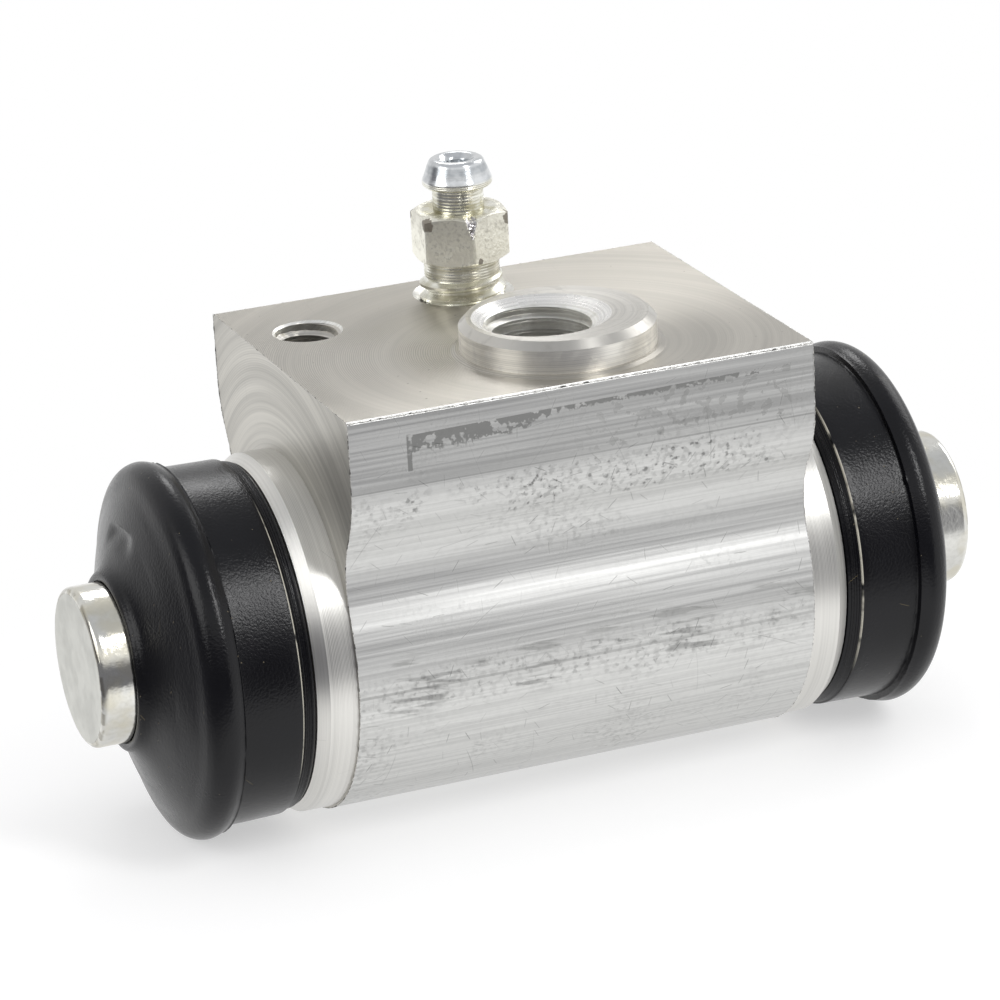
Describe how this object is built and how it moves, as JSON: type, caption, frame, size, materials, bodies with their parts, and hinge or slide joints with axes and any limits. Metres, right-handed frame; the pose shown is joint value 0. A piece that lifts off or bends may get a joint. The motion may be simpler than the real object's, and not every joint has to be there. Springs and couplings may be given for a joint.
{
  "type": "wheel cylinder",
  "caption": "Drum brake wheel cylinder: extruded aluminium body with two opposed pistons under rubber boots, port boss, fixing hole and bleed screw.",
  "frame": {"origin": "on the mounting face, on the axis of the locating boss", "axes": "+Z out of the mounting face along the boss, +X along the bore, +Y from the boss towards the bleed screw"},
  "size_m": [0.0844, 0.0354, 0.0544],
  "materials": {
    "body_aluminium": "milled and turned, drawn sides with scratches",
    "plated_steel": "bright zinc plating, satin end faces",
    "boot_rubber": "satin moulded rubber",
    "seal_rubber": "smooth rubber",
    "spring_steel": "drawn wire"
  },
  "bodies": {
    "cylinder": {"cylinder_body": "body_aluminium", "dust_boot_left": "boot_rubber", "dust_boot_right": "boot_rubber", "return_spring": "spring_steel"},
    "left_piston": {"piston_left": "plated_steel", "cup_seal_left": "seal_rubber", "cup_expander_left": "spring_steel"},
    "right_piston": {"piston_right": "plated_steel", "cup_seal_right": "seal_rubber", "cup_expander_right": "spring_steel"},
    "bleeder": {"bleed_screw": "plated_steel"}
  },
  "joints": [
    {"name": "piston_left_slide", "type": "slide", "parent": "cylinder", "child": "left_piston", "axis": [-1, 0, 0], "range_m": [-0.003, 0.006], "stiffness_N_per_m": 800, "deforming": ["dust_boot_left", "return_spring"]},
    {"name": "piston_right_slide", "type": "slide", "parent": "cylinder", "child": "right_piston", "axis": [1, 0, 0], "range_m": [-0.003, 0.006], "stiffness_N_per_m": 800, "deforming": ["dust_boot_right", "return_spring"]},
    {"name": "bleed_screw_turn", "type": "hinge", "parent": "cylinder", "child": "bleeder", "pos_m": [-0.0014, 0.01945, 0], "axis": [0, 0, 1], "range_deg": [0, 360]}
  ]
}
